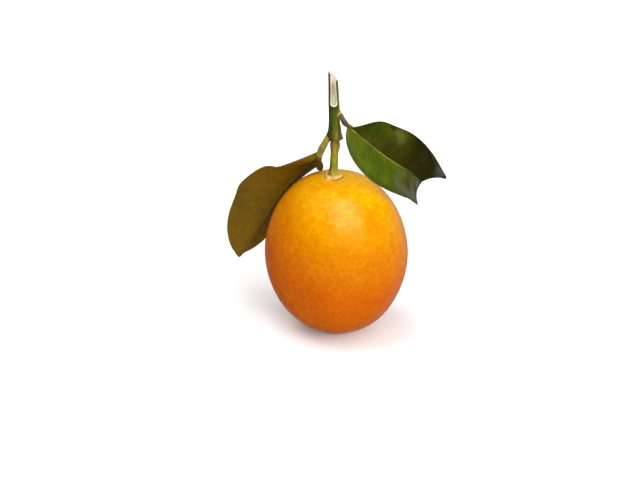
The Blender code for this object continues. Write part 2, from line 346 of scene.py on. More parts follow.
def add_object(name, data):
    """A new object in the scene."""
    thing = bpy.data.objects.new(name, data)
    bpy.context.scene.collection.objects.link(thing)
    return thing


def store(mesh, name, values):
    """Keep a number for each point of the mesh."""
    layer = mesh.attributes.new(name, "FLOAT", "POINT")
    layer.data.foreach_set("value", np.asarray(values, dtype=np.float32))


def mesh_object(name, points, faces, attributes=None):
    """A smoothly shaded object of points, faces and the numbers kept at the points."""
    mesh = bpy.data.meshes.new(name)
    mesh.from_pydata([tuple(p) for p in points], [], [tuple(f) for f in faces])
    for key, values in (attributes or {}).items():
        store(mesh, key, values)
    mesh.shade_smooth()
    mesh.update()
    return add_object(name, mesh)


def take_mesh(name, bm):
    """The mesh of what was built in bmesh."""
    mesh = bpy.data.meshes.new(name)
    bm.to_mesh(mesh)
    bm.free()
    return mesh


def face_outward(mesh, merge=0.0):
    """Turn all faces outward, once points closer together than a distance are joined."""
    bm = bmesh.new()
    bm.from_mesh(mesh)
    if merge:
        bmesh.ops.remove_doubles(bm, verts=bm.verts, dist=merge)
    bmesh.ops.recalc_face_normals(bm, faces=bm.faces)
    bm.to_mesh(mesh)
    bm.free()


def get_vectors(items, key):
    """The items' vectors as an array."""
    values = np.empty(len(items) * 3, dtype=np.float32)
    items.foreach_get(key, values)
    return values.reshape(-1, 3).astype(float)


def get_points(mesh):
    """The mesh's points."""
    return get_vectors(mesh.vertices, "co")


def get_normals(mesh):
    """The normals at the mesh's points."""
    return get_vectors(mesh.vertex_normals, "vector")


def set_points(mesh, points):
    """Move the mesh's points."""
    mesh.vertices.foreach_set("co", np.asarray(points, dtype=np.float32).ravel())
    mesh.update()


def apply_modifiers(thing):
    """Give the object the mesh that its modifiers make."""
    depsgraph = bpy.context.evaluated_depsgraph_get()
    mesh = bpy.data.meshes.new_from_object(thing.evaluated_get(depsgraph))
    thing.modifiers.clear()
    thing.data = mesh


def bell(values, reach, power=2):
    """1 at 0, falling away beyond the reach."""
    return np.exp(-((values / reach) ** power))


def rising(values, reach):
    """0 up to 0, 1 from the reach on, and even in between."""
    return np.clip(values / reach, 0, 1)


def unit(vectors):
    """The rows at length 1."""
    return vectors / np.linalg.norm(vectors, axis=1)[:, None]


def natural_curve(rows, shares):
    """The smooth curve through the rows at shares of its length; extra columns go along."""
    rows = np.array(rows, float)
    knots = np.append(0, np.cumsum(np.linalg.norm(np.diff(rows[:, :3], axis=0), axis=1)))
    steps = np.diff(knots)
    system = np.eye(len(rows))
    jumps = np.zeros_like(rows)
    for i in range(1, len(rows) - 1):
        system[i, i - 1 : i + 2] = steps[i - 1], 2 * (steps[i - 1] + steps[i]), steps[i]
        jumps[i] = (rows[i + 1] - rows[i]) / steps[i] - (rows[i] - rows[i - 1]) / steps[i - 1]
    bends = np.linalg.solve(system, 6 * jumps)
    places = knots[-1] * np.asarray(shares)
    i = np.clip(np.searchsorted(knots, places, side="right") - 1, 0, len(steps) - 1)
    step = steps[i][:, None]
    after = (places - knots[i])[:, None] / step
    before = 1 - after
    chord = before * rows[i] + after * rows[i + 1]
    bulge = (before**3 - before) * bends[i] + (after**3 - after) * bends[i + 1]
    return chord + bulge * step**2 / 6


def ring_faces(rings, sides):
    """Faces between neighbouring rings of points."""
    faces = []
    for low in range(0, (rings - 1) * sides, sides):
        high = low + sides
        for j in range(sides):
            k = (j + 1) % sides
            faces.append((low + j, high + j, high + k, low + k))
    return faces


def end_faces(rings, sides):
    """The faces that close the first and the last ring."""
    last = (rings - 1) * sides
    return [tuple(range(sides)), tuple(last + j for j in reversed(range(sides)))]


def tube_mesh(rows, sides, steps):
    """Points and faces of a round tube with domed ends through rows of x, y, z, radius."""
    line = natural_curve(rows, np.linspace(0, 1, steps + 1))
    path, radii = line[:, :3], line[:, 3]
    ahead = unit(np.gradient(path, axis=0))
    side = np.cross(ahead[0], TUBE_SEAM)
    turns = np.linspace(0, FULL_TURN, sides, endpoint=False)
    rings = []
    for i, forward in enumerate(ahead):
        side = side - forward * (side @ forward)
        side /= np.linalg.norm(side)
        other = np.cross(forward, side)
        circle = np.cos(turns)[:, None] * side + np.sin(turns)[:, None] * other
        lifts = [0.0]
        if i == 0:
            lifts = [-lift for lift in reversed(DOME_LIFTS)] + lifts
        if i == steps:
            lifts = lifts + list(DOME_LIFTS)
        for lift in lifts:
            middle = path[i] + forward * radii[i] * DOME_HEIGHT * lift
            rings.append(middle + radii[i] * math.sqrt(1 - lift**2) * circle)
    faces = ring_faces(len(rings), sides) + end_faces(len(rings), sides)
    return np.concatenate(rings), [face[:1] + face[:0:-1] for face in faces]


# Materials


class Shader:
    """A material, or the surroundings, with short ways to add and join nodes."""

    def __init__(self, name, kind="materials", main="Principled BSDF"):
        self.made = getattr(bpy.data, kind).new(name)
        self.made.use_nodes = True
        self.tree = self.made.node_tree
        self.main = self.tree.nodes[main]

    def put(self, socket, value):
        """Link a socket, or set a number, a vector or a colour."""
        if isinstance(value, bpy.types.NodeSocket):
            self.tree.links.new(value, socket)
        else:
            socket.default_value = (*value, 1) if socket.type == "RGBA" else value

    def node(self, kind, *values, **settings):
        """A node with its settings, and its inputs in order."""
        made = self.tree.nodes.new("ShaderNode" + kind)
        for key, value in settings.items():
            setattr(made, key, value)
        for socket, value in zip(made.inputs, values):
            self.put(socket, value)
        return made

    def set(self, name, value):
        """An input of the main shader."""
        self.put(self.main.inputs[name], value)

    def surface(self, colour, roughness, specular):
        """Base colour, roughness and specular level."""
        self.set("Base Color", colour)
        self.set("Roughness", roughness)
        self.set("Specular IOR Level", specular)

    def position(self):
        """The place in metres."""
        return self.node("TexCoord").outputs["Object"]

    def attribute(self, name):
        """A number kept on the mesh."""
        made = self.node("Attribute", attribute_name=name, attribute_type="GEOMETRY")
        return made.outputs["Fac"]

    def math(self, operation, *values):
        """Arithmetic."""
        return self.node("Math", *values, operation=operation).outputs[0]

    def product(self, *factors):
        """All factors multiplied."""
        result = factors[0]
        for factor in factors[1:]:
            result = self.math("MULTIPLY", result, factor)
        return result

    def vector(self, operation, *values):
        """Vector arithmetic."""
        made = self.node("VectorMath", *values, operation=operation)
        name = "Value" if operation in ("DOT_PRODUCT", "LENGTH", "DISTANCE") else "Vector"
        return made.outputs[name]

    def axis(self, vector, name):
        """One coordinate of a vector."""
        return self.node("SeparateXYZ", vector).outputs[name]

    def scaled(self, vector, *factors):
        """The vector with each axis multiplied."""
        return self.vector("MULTIPLY", vector, factors)

    def drawn(self, vector, share):
        """The vector with its height multiplied, which draws a texture out upwards."""
        return self.scaled(vector, 1.0, 1.0, share)

    def step(self, value, low, high, first=0.0, last=1.0, kind="SMOOTHSTEP"):
        """Goes smoothly from first at low to last at high."""
        made = self.node("MapRange", value, low, high, first, last, interpolation_type=kind)
        return made.outputs[0]

    def spread(self, *values):
        """Goes evenly from first at low to last at high."""
        return self.step(*values, kind="LINEAR")

    def mix(self, share, first, second, blend="MIX"):
        """Mix two colours."""
        made = self.node("Mix", data_type="RGBA", blend_type=blend)
        for i, value in ((0, share), (6, first), (7, second)):
            self.put(made.inputs[i], value)
        return made.outputs[2]

    def over(self, base, colour, *shares):
        """A colour over another, as strong as the shares multiplied."""
        return self.mix(self.product(*shares), base, colour)

    def tinted(self, colour, tint):
        """The colour with each channel multiplied."""
        return self.mix(1.0, colour, tint, "MULTIPLY")

    def noise(self, vector, scale, detail=2.0, roughness=0.5):
        """Smooth noise around 0.5."""
        made = self.node("TexNoise", vector, 0.0, scale, detail, roughness)
        return made.outputs["Fac"]

    def ramp(self, value, stops):
        """A colour ramp of (position, colour) stops."""
        made = self.node("ValToRGB", value)
        elements = made.color_ramp.elements
        while len(elements) < len(stops):
            elements.new(0.5)
        for element, (place, colour) in zip(elements, stops):
            element.position = place
            element.color = (*colour, 1)
        return made.outputs[0]

    def bump(self, height, distance, strength=1.0):
        """Bump from a height."""
        made = self.node("Bump", strength, distance)
        self.put(made.inputs["Height"], height)
        self.set("Normal", made.outputs["Normal"])


def peel_material():
    """Waxy orange peel with darker oil glands, yellower towards the stalk, and painted shade
    that darkens it towards the bottom and on the left side.
    """
    s = Shader("peel")
    place = s.position()
    # Painted shade: the colour darkens towards the bottom, and the left side counts as lower, so
    # it is darker as well
    sunless = s.math("MINIMUM", s.axis(place, "X"), 0.0)
    height = s.math("MULTIPLY_ADD", sunless, 0.5, s.axis(place, "Z"))
    ripeness_and_shade = s.ramp(
        s.spread(height, 0.0, 0.036),
        [
            (0.00, (0.42, 0.098, 0.0002)),
            (0.33, (0.5, 0.092, 0.0002)),
            (0.58, (0.61, 0.185, 0.0002)),
            (0.95, (0.82, 0.4, 0.0004)),
        ],
    )
    blotch = s.noise(place, 140.0, 3.0, 0.55)
    blotched = s.over(ripeness_and_shade, (0.58, 0.125, 0.0002), s.step(blotch, 0.40, 0.68))
    base = s.over(ripeness_and_shade, blotched, 0.35)
    gland = s.attribute("gland")
    wobble = s.math("MULTIPLY_ADD", s.noise(place, 2600.0, 1.0), 1.0, -0.5)
    inside = s.step(s.math("ADD", gland, wobble), 1.80, 0.20)
    tone = s.spread(s.attribute("tone"), 0.0, 1.0, 0.25, 1.0)
    skin = s.over(base, s.tinted(base, (0.93, 0.79, 0.6)), inside, tone)
    web = s.step(gland, 1.3, 2.1)
    skin = s.over(skin, s.tinted(base, (1.04, 1.16, 1.2)), web, 0.8)
    skin = s.over(skin, (0.16, 0.075, 0.02), s.step(s.attribute("scar"), 0.35, 0.75))
    skin = s.over(skin, (0.8, 0.42, 0.02), s.attribute("dimple"), 0.35)
    s.surface(skin, 0.19, 0.20)
    s.set("Specular Tint", (1.0, 0.8, 0.5))
    s.set("Subsurface Weight", 0.10)
    s.set("Subsurface Radius", (1.0, 0.35, 0.08))
    s.set("Subsurface Scale", 0.0012)
    fine = s.noise(place, 5200.0, 2.0, 0.6)
    coarse = s.noise(place, 900.0, 2.0, 0.5)
    s.bump(s.math("MULTIPLY_ADD", coarse, 1.6, fine), 0.000012, 0.6)
    return s.made


def calyx_material():
    """Pale tan dried calyx, greener in the middle and browner at the rim, with painted shade in
    a broken dark line under its rim.
    """
    s = Shader("calyx")
    place = s.position()
    share = s.attribute("share")
    patch = s.step(s.noise(place, 1100.0, 3.0, 0.6), 0.35, 0.7)
    base = s.over((0.72, 0.53, 0.15), (0.58, 0.38, 0.065), patch)
    base = s.over(base, (0.36, 0.33, 0.05), s.step(share, 0.62, 0.30), 0.6)
    specks = s.step(s.noise(place, 900.0, 2.0, 0.5), 0.53, 0.62)
    rim = s.step(share, 0.93, 0.985)
    base = s.over(base, (0.12, 0.045, 0.012), specks, rim)
    # Painted shade: a broken dark line under the rim, where the calyx meets the peel
    wall = s.step(share, 0.940, 0.978)
    broken = s.step(s.noise(place, 650.0, 2.0), 0.40, 0.50)
    base = s.over(base, (0.1, 0.04, 0.011), wall, broken)
    s.surface(base, 0.62, 0.3)
    s.bump(s.noise(place, 3500.0, 3.0, 0.6), 0.00003, 0.7)
    return s.made


def axis_distance(s, place):
    """Distance from the shoot's axis, and height along it."""
    foot = Vector(SHOOT[CUT_ROW][:3])
    axis = (Vector(SHOOT[-1][:3]) - foot).normalized()
    offset = s.vector("SUBTRACT", place, tuple(foot))
    along = s.vector("DOT_PRODUCT", offset, tuple(axis))
    radial = s.vector("SUBTRACT", offset, s.vector("MULTIPLY", tuple(axis), along))
    return s.vector("LENGTH", radial), along


def bark_material():
    """Green bark: yellowish on the stalk, brown on the ring, dark on the shoot, with painted
    light on the right and painted shade on the left.
    """
    s = Shader("bark")
    place = s.position()
    x = s.axis(place, "X")
    z = s.axis(place, "Z")
    streak = s.noise(s.drawn(place, 0.12), 1900.0, 3.0, 0.6)
    shifted = s.math("MULTIPLY_ADD", s.noise(place, 500.0, 2.0), 0.0010, -0.0005)
    low, high = 35.0, 58.0

    def at(height):
        return (height - low) / (high - low)

    along = s.ramp(
        s.spread(s.math("ADD", z, shifted), low * MM, high * MM),
        [
            (at(35.5), (0.38, 0.33, 0.045)),
            (at(37.2), (0.205, 0.2, 0.01)),
            (at(40.3), (0.2, 0.18, 0.01)),
            (at(41.2), (0.22, 0.135, 0.026)),
            (at(42.4), (0.17, 0.095, 0.022)),
            (at(43.1), (0.095, 0.085, 0.005)),
            (at(45.5), (0.06, 0.074, 0.003)),
            (at(49.0), (0.056, 0.072, 0.003)),
            (at(58.0), (0.048, 0.055, 0.008)),
        ],
    )

    # Streaks, and painted shade on the left side
    base = s.over(along, s.tinted(along, (2.1, 1.9, 1.6)), s.step(streak, 0.46, 0.64), 0.6)
    dark = s.step(s.noise(s.drawn(place, 0.10), 1500.0, 2.0), 0.55, 0.72)
    base = s.over(base, s.tinted(along, (0.42, 0.45, 0.5)), dark, 0.55)
    # Painted shade: everything left of the axis is darkened
    left_side = s.step(x, -0.0004, -0.0014)
    base = s.over(base, s.tinted(base, (0.45, 0.5, 0.5)), left_side, 0.8)

    # Painted light on the stalk's right side, the shoot's left side, and painted light on the
    # shoot's sunny right side
    stalk = s.step(z, 0.0440, 0.0400)
    # Painted light: the stalk is lighter and yellower right of its axis
    base = s.over(base, (0.4, 0.35, 0.05), s.step(x, -0.0002, 0.0005), stalk, 0.5)
    upper = s.step(z, 0.0495, 0.0520)
    base = s.over(base, (0.072, 0.043, 0.012), left_side, upper, 0.9)
    shoot = s.step(z, 0.0455, 0.0500)
    # Painted light: the shoot is lighter right of its axis
    base = s.over(base, (0.15, 0.13, 0.01), s.step(x, -0.0002, 0.0006), shoot, 0.55)

    # The edge under the cut, the scar on the node, the right cushion and the specks
    under_cut = s.step(s.math("ABSOLUTE", s.math("SUBTRACT", z, 0.04985)), 0.00022, 0.00005)
    base = s.over(base, (0.02, 0.022, 0.004), under_cut, 0.6)
    from_scar = s.scaled(s.vector("SUBTRACT", place, (-0.0001, -0.0009, 0.0443)), 1.0, 0.5, 0.28)
    scar = s.step(s.vector("LENGTH", from_scar), 0.00042, 0.00018)
    base = s.over(base, (0.26, 0.17, 0.07), scar, 0.75)
    cushion = s.vector("DISTANCE", place, (0.00085, -0.0002, 0.04850))
    base = s.over(base, (0.46, 0.33, 0.13), s.step(cushion, 0.00095, 0.00050))
    specks = s.step(s.noise(s.drawn(place, 0.5), 5200.0, 1.0), 0.68, 0.74)
    base = s.over(base, (0.34, 0.27, 0.1), specks, 0.35)
    s.surface(base, 0.50, 0.30)
    s.set("Specular Tint", (1.0, 0.97, 0.5))
    s.bump(streak, 0.00004, 0.6)
    return s.made


def wood_material():
    """Pale cut wood with fine growth lines and a dark edge of bark."""
    s = Shader("cut_wood")
    place = s.position()
    radius, along = axis_distance(s, place)
    full = s.math("MULTIPLY_ADD", along, -0.0198, 0.00113)
    share = s.math("DIVIDE", radius, full)
    beyond = s.math("SUBTRACT", s.product(share, share), 0.62)
    chord = s.math("SQRT", s.math("MAXIMUM", beyond, 0.0))
    ring = s.math("MULTIPLY_ADD", chord, 1.3, share)
    warp = s.noise(s.drawn(place, 0.15), 900.0, 2.0)
    ring = s.math("MULTIPLY_ADD", warp, 0.10, ring)
    lines = s.step(s.math("SINE", s.product(ring, 24.0)), 0.45, 0.98)
    fibre = s.noise(s.drawn(place, 0.05), 5200.0, 2.0)
    base = s.over((0.54, 0.49, 0.32), (0.43, 0.38, 0.22), s.step(fibre, 0.35, 0.70))
    base = s.over(base, (0.18, 0.155, 0.085), lines, 0.85)
    z = s.axis(place, "Z")
    foot = s.product(s.step(z, 0.0516, 0.0508), s.step(share, 0.84, 0.92))
    base = s.over(base, (0.84, 0.78, 0.56), foot)
    base = s.over(base, (0.78, 0.66, 0.52), s.step(z, 0.0545, 0.0568), 0.8)
    base = s.over(base, (0.08, 0.055, 0.02), s.step(share, 0.955, 0.99))
    base = s.over(base, (0.4, 0.33, 0.17), s.step(share, 0.16, 0.10))
    s.surface(base, 0.75, 0.2)
    s.bump(fibre, 0.00002, 0.5)
    return s.made


def leaf_material(name, right, left, lower, rib_upper, rib_lower, base=0.0, dark_tip=0.25):
    """Glossy upper side whose halves' greens carry painted light and shade, satin underside,
    paler veins and midrib.

    The upper side has the underside's colour up to the base share of the blade's length.
    """
    s = Shader(name)
    place = s.position()
    vein, rib, side, edge, across, along = (
        s.attribute(key) for key in ("vein", "rib", "side", "edge", "across", "along")
    )
    mottle = s.step(s.noise(place, 420.0, 4.0, 0.6), 0.38, 0.66)
    fine = s.noise(place, 3000.0, 2.0, 0.6)

    # The two halves, the left one darker as painted shade and less so near the base, clouds, the
    # margin, a patch of painted light in the right half's green, mottling and veins
    young = s.over(left, right, s.step(along, 0.42, 0.08), 0.45)
    top = s.over(right, young, s.step(across, -0.04, 0.04))
    cloud = s.step(s.noise(s.drawn(place, 0.6), 330.0, 3.0, 0.55), 0.36, 0.62)
    bright = s.tinted(top, (1.12, 1.1, 1.0))
    top = s.over(bright, s.tinted(top, (0.55, 0.66, 1.2)), cloud, 0.55)
    border = s.step(s.math("ABSOLUTE", across), 0.72, 1.0)
    top = s.over(top, s.tinted(top, (0.6, 0.68, 1.3)), border)
    # Painted light: a lit patch of the right half's green on the left half, near the base
    beside = s.product(s.step(across, 0.42, 0.72), s.step(across, 1.02, 0.86))
    ahead = s.product(s.step(along, 0.02, 0.30), s.step(along, 0.50, 0.38))
    top = s.over(top, right, beside, ahead, s.step(mottle, 0.1, 0.9), 0.55)
    top = s.over(top, s.tinted(top, (1.5, 1.35, 1.6)), mottle, 0.6)
    top = s.over(top, s.tinted(top, (1.6, 1.5, 1.5)), vein, 0.30)

    # Painted shade towards the tip, where it bends away, with a painted grey sheen
    wavy = s.math("MULTIPLY_ADD", s.noise(s.drawn(place, 0.4), 260.0, 2.0), 0.24, -0.12)
    toward_tip = s.product(s.step(s.math("ADD", along, wavy), 0.42, 0.74), dark_tip)
    top = s.over(top, (0.017, 0.016, 0.002), toward_tip)
    painted_sheen = s.step(s.noise(s.drawn(place, 0.45), 430.0, 4.0, 0.6), 0.36, 0.60)
    near_crest = s.product(s.step(across, 0.40, 0.85), s.step(along, 0.52, 0.66))
    halves = s.math("MAXIMUM", s.step(across, 0.1, -0.25), near_crest)
    top = s.over(top, (0.135, 0.137, 0.105), painted_sheen, 0.75, toward_tip, halves)

    # Base, and the midrib with its darker flanks
    top = s.over(top, lower, s.step(along, base, base * 0.6))
    top = s.over(top, s.tinted(top, (0.45, 0.45, 0.5)), s.step(rib, 0.10, 0.40), 0.6)
    top = s.over(top, rib_upper, s.step(rib, 0.45, 0.90), s.step(along, 0.66, 0.35))

    # Underside
    below = s.over(lower, s.tinted(lower, (0.8, 0.78, 0.8)), mottle, 0.6)
    below = s.over(below, s.tinted(below, (1.3, 1.3, 1.3)), vein, 0.40)
    below = s.over(below, rib_lower, s.step(rib, 0.15, 0.70))

    colour = s.over(below, top, s.step(side, -0.2, 0.2))
    # A pale line along the margin: a painted highlight on its edge
    colour = s.over(colour, (0.16, 0.15, 0.035), s.step(edge, 0.982, 0.996), 0.6)
    dapple = s.math("MULTIPLY_ADD", fine, 0.4, 0.8)
    colour = s.over(colour, s.tinted(colour, dapple), 0.5)
    s.surface(colour, s.spread(side, -1.0, 1.0, 0.62, 0.42), 0.10)
    s.set("Specular Tint", (0.95, 1.0, 0.4))
    net = s.node("TexVoronoi", place, 0.0, 1300.0, feature="DISTANCE_TO_EDGE")
    relief = s.math("MULTIPLY_ADD", s.step(net.outputs["Distance"], 0.0, 0.12), 0.5, fine)
    s.bump(relief, 0.00002, 0.6)
    return s.made


def petiole_material(name, young, old, middle, rib, foot):
    """Petiole with darker patches near its middle; below its foot it has the midrib's colour."""
    s = Shader(name)
    place = s.position()
    streak = s.noise(s.drawn(place, 0.4), 1700.0, 3.0, 0.6)
    shade = tuple(0.72 * channel for channel in young)
    base = s.over(young, shade, s.step(streak, 0.4, 0.65))
    near = s.step(s.vector("DISTANCE", place, middle), 0.0013, 0.0006)
    base = s.over(base, old, near, s.step(streak, 0.62, 0.40))
    base = s.over(base, rib, s.step(s.axis(place, "Z"), foot + 0.0004, foot - 0.0006))
    s.surface(base, 0.5, 0.35)
    s.bump(streak, 0.00004, 0.6)
    return s.made


# Fruit


def skin_places(directions):
    """Places on the smooth skin, in the fruit's own frame, for unit directions."""
    turn = np.arctan2(directions[:, 1], directions[:, 0])
    level = directions[:, 2]
    waist = 1 - level**2
    oval = np.cos(2 * turn + FRUIT_OVAL_TURN)
    three = np.cos(3 * turn + FRUIT_THREE_TURN)
    swell = 1 + FRUIT_SWELL * waist * (oval + FRUIT_THREE_SHARE * three)
    across = FRUIT_RADIUS * np.sqrt(np.maximum(waist, 0)) * swell
    above = FRUIT_TOP * level - DIMPLE_DEPTH * bell(across, DIMPLE_REACH)
    below = FRUIT_BOTTOM * level + BLOSSOM_DEPTH * bell(across, BLOSSOM_REACH)
    height = np.where(level > 0, above, below)
    return np.stack([across * np.cos(turn), across * np.sin(turn), height], 1)


def fruit_frame():
    """Places the fruit's own frame in the model."""
    return Matrix.Translation(FRUIT_CENTRE) @ Matrix.Rotation(-FRUIT_LEAN, 4, "Y")


def moved(points, frame):
    """The points carried by a matrix."""
    matrix = np.array(frame)
    return points @ matrix[:3, :3].T + matrix[:3, 3]


def nearest(points, centres):
    """Distance to, and number of, the nearest centre of each point."""
    tree = kdtree.KDTree(len(centres))
    for i, centre in enumerate(centres):
        tree.insert(centre, i)
    tree.balance()
    found = [tree.find(point) for point in points]
    return np.array([f[2] for f in found]), np.array([f[1] for f in found])


def make_fruit():
    """The fruit, whose mesh has a gland at every corner of an even pattern that is shaken."""
    random = np.random.default_rng(SEED)
    bm = bmesh.new()
    bmesh.ops.create_icosphere(bm, subdivisions=GLAND_PATTERN, radius=1)
    spacing = np.mean([edge.calc_length() for edge in bm.edges])
    shifts = random.uniform(-1, 1, (len(bm.verts), 3)) * spacing * GLAND_SHIFT
    for vertex, shift in zip(bm.verts, shifts):
        vertex.co = (vertex.co + Vector(shift)).normalized()
    bmesh.ops.beautify_fill(bm, faces=bm.faces, edges=bm.edges, method="ANGLE")
    glands = np.array([vertex.co[:] for vertex in bm.verts])
    middles = np.array([face.calc_center_median().normalized()[:] for face in bm.faces])
    bmesh.ops.subdivide_edges(bm, edges=bm.edges, cuts=PEEL_CUTS, use_grid_fill=True)
    mesh = take_mesh("fruit_skin", bm)

    directions = unit(get_points(mesh))
    own = skin_places(directions)
    gland_places = skin_places(glands)
    chosen = random.random(len(middles)) < SMALL_GLAND_SHARE
    small_places = skin_places(middles[chosen])
    radii = random.uniform(*GLAND_RADIUS, len(glands))
    radii[random.random(len(glands)) < FAINT_GLAND_SHARE] *= FAINT_GLAND_SIZE
    tones = random.random(len(glands))
    distance, number = nearest(own, gland_places)
    small_distance, _ = nearest(own, small_places)
    small_ratio = small_distance / SMALL_GLAND_RADIUS + SMALL_GLAND_RISE
    ratio = np.minimum(distance / radii[number], small_ratio)

    across = np.hypot(own[:, 0], own[:, 1])
    top = own[:, 2] > 0
    reach = np.where(top, SMOOTH_TOP, SMOOTH_FOOT)
    smooth = bell(across, reach, FLAT_BELL)
    fade = 1 - smooth
    slow = sum(np.sin(directions @ np.array(wave) + phase) for wave, phase in UNEVEN_WAVES)
    set_points(mesh, moved(own, fruit_frame()))
    heights = slow * UNEVEN_HEIGHT * fade - GLAND_DEPTH * bell(ratio, GLAND_SPREAD) * fade
    points = get_points(mesh) + get_normals(mesh) * heights[:, None]
    scar = np.where(top, 0, bell(across, SCAR_RADIUS))
    points[:, 2] = np.maximum(points[:, 2], 0) + scar * SCAR_DEPTH
    set_points(mesh, points)

    ratio = np.where(fade > 0.5, ratio, GLAND_PLAIN)
    store(mesh, "gland", np.clip(ratio, 0, GLAND_LIMIT))
    store(mesh, "tone", tones[number])
    store(mesh, "scar", scar)
    store(mesh, "dimple", np.where(top, smooth, 0))
    mesh.shade_smooth()
    mesh.materials.append(peel_material())
    return add_object("fruit_skin", mesh)


# Calyx


def crown_height(across):
    """Height of the skin over the fruit's centre, at a distance from its axis."""
    dome = FRUIT_TOP * np.sqrt(1 - (across / FRUIT_RADIUS) ** 2)
    return dome - DIMPLE_DEPTH * bell(across, DIMPLE_REACH)


def make_calyx():
    """Five short lobes round the stalk, thick in the middle, thin and uneven at the rim."""
    turns = np.linspace(0, FULL_TURN, CALYX_SIDES, endpoint=False)
    lobe = 1 + CALYX_LOBE_DEPTH * np.cos(CALYX_LOBES * turns)
    for size, waves, turn in CALYX_OUTLINE:
        lobe += size * np.cos(waves * turns + turn)
    creases = 0.5 - 0.5 * np.cos(CALYX_LOBES * turns + math.pi)
    points, shares = [], []

    def ring(share, rise):
        across = CALYX_RADIUS * share * lobe
        height = crown_height(across) + rise
        points.append(np.stack([across * np.cos(turns), across * np.sin(turns), height], 1))
        shares.append(np.full(CALYX_SIDES, share))

    steps = [math.sin(i / CALYX_RINGS * math.pi / 2) for i in range(CALYX_RINGS + 1)]
    for share in steps:
        rise = CALYX_RIM * (1 - share**CALYX_DROP)
        rise = rise + CALYX_BOSS * bell(share, CALYX_BOSS_REACH, FLAT_BELL)
        rise = rise - CALYX_CREASE * (1 - creases) * share**2
        rise = rise + CALYX_WAVE * np.sin(CALYX_WAVES[0] * turns + CALYX_WAVES[1] * share)
        ring(share, np.maximum(rise, CALYX_THINNEST))
    for share in reversed(steps[1:]):
        ring(share * CALYX_UNDERCUT, -CALYX_SINK)
    faces = ring_faces(len(points), CALYX_SIDES) + end_faces(len(points), CALYX_SIDES)[1:]
    places = moved(np.concatenate(points), fruit_frame())
    calyx = mesh_object("calyx_disc", places, faces, {"share": np.concatenate(shares)})
    face_outward(calyx.data, merge=CALYX_MERGE)
    calyx.data.shade_smooth()
    calyx.data.materials.append(calyx_material())
    return calyx


# Twig


def grow_twig():
    """Stalk, ring, node, bud, cushions and shoot grown together, with fine ridges."""
    points, faces = [], []
    start = 0
    for rows in (STEM, SHOOT, LEFT_CUSHION, RIGHT_CUSHION, BUD):
        tube_points, tube_faces = tube_mesh(rows, TWIG_SIDES, TWIG_STEPS * (len(rows) - 1))
        points.append(tube_points)
        faces += [tuple(start + corner for corner in face) for face in tube_faces]
        start += len(tube_points)
    twig = mesh_object("twig_bark", np.concatenate(points), faces)
    remesh = twig.modifiers.new("remesh", "REMESH")
    remesh.mode = "VOXEL"
    remesh.voxel_size = TWIG_VOXEL
    smooth = twig.modifiers.new("smooth", "SMOOTH")
    smooth.factor, smooth.iterations = TWIG_SMOOTHING
    apply_modifiers(twig)

    mesh = twig.data
    places = get_points(mesh)
    shares = np.linspace(0, 1, AXIS_POINTS)
    stem, shoot = natural_curve(STEM, shares), natural_curve(SHOOT, shares)
    axis = np.concatenate([stem[stem[:, 2] < STEM_END], shoot])
    axis_x, axis_y = (np.interp(places[:, 2], axis[:, 2], axis[:, i]) for i in (0, 1))
    turn = np.arctan2(places[:, 1] - axis_y, places[:, 0] - axis_x)
    z = places[:, 2] / MM
    lift = TWIG_KNOTS * np.sin(2.1 * z + 3 * np.sin(turn)) * np.sin(3 * turn + 0.7 * z)
    for share, count, twist, begin in TWIG_RIDGES:
        lift += share * np.sin(count * turn + twist * z + begin)
    lift *= TWIG_RIDGE
    set_points(mesh, places + get_normals(mesh) * lift[:, None])
    return twig


def make_knives():
    """What is cut away: a long face that curves in from the bark, and the slanting end."""
    foot = Vector(SHOOT[0][:3])
    axis = (Vector(SHOOT[-1][:3]) - foot).normalized()
    lean = Vector((0, 0, 1)).rotation_difference(axis).to_matrix().to_4x4()

    def on_axis(height):
        return Matrix.Translation(foot + axis * ((height - foot.z) / axis.z))

    profile = []
    reach = SHOOT[CUT_ROW][3] + CUT_SPARE - CUT_DEPTH
    for i in range(CUT_STEPS + 1):
        share = i / CUT_STEPS
        profile.append((CUT_DEPTH + reach * (1 - share) ** CUT_CURVE, CUT_RUN * i / CUT_STEPS))
    profile += [(CUT_DEPTH + deeper, along) for deeper, along in CUT_FACE]
    profile += [(CUT_BACK, CUT_FACE[-1][1]), (CUT_BACK, 0.0)]
    corners = [(x, -depth, along) for x in (-CUT_WIDTH, CUT_WIDTH) for depth, along in profile]
    n = len(profile)
    sides = [(i, (i + 1) % n, n + (i + 1) % n, n + i) for i in range(n)]
    ends = [tuple(reversed(range(n))), tuple(range(n, 2 * n))]
    face_knife = mesh_object("face_cutter", np.array(corners), sides + ends)
    face_knife.matrix_world = on_axis(CUT_FOOT) @ lean

    bm = bmesh.new()
    bmesh.ops.create_cube(bm, size=CUTTER_SIZE)
    bmesh.ops.translate(bm, verts=bm.verts, vec=(0, 0, CUTTER_SIZE / 2))
    end_knife = add_object("end_cutter", take_mesh("end_cutter", bm))
    end_knife.matrix_world = on_axis(END_HEIGHT) @ Matrix.Rotation(END_SLOPE, 4, "Y")
    return face_knife, end_knife


def make_twig():
    """The twig with its bark, and pale wood where it was cut."""
    twig = grow_twig()
    bark, wood = bark_material(), wood_material()
    twig.data.materials.clear()
    twig.data.materials.append(bark)
    twig.data.materials.append(wood)
    knives = make_knives()
    for knife in knives:
        face_outward(knife.data)
        knife.data.materials.append(wood)
        boolean = twig.modifiers.new("cut", "BOOLEAN")
        boolean.operation = "DIFFERENCE"
        boolean.solver = "EXACT"
        boolean.object = knife
        boolean.material_mode = "TRANSFER"
    apply_modifiers(twig)
    for knife in knives:
        bpy.data.objects.remove(knife, do_unlink=True)
    twig.data.shade_smooth()
    twig.data.set_sharp_from_angle(angle=SHARP_ANGLE)
    return twig


# Leaves


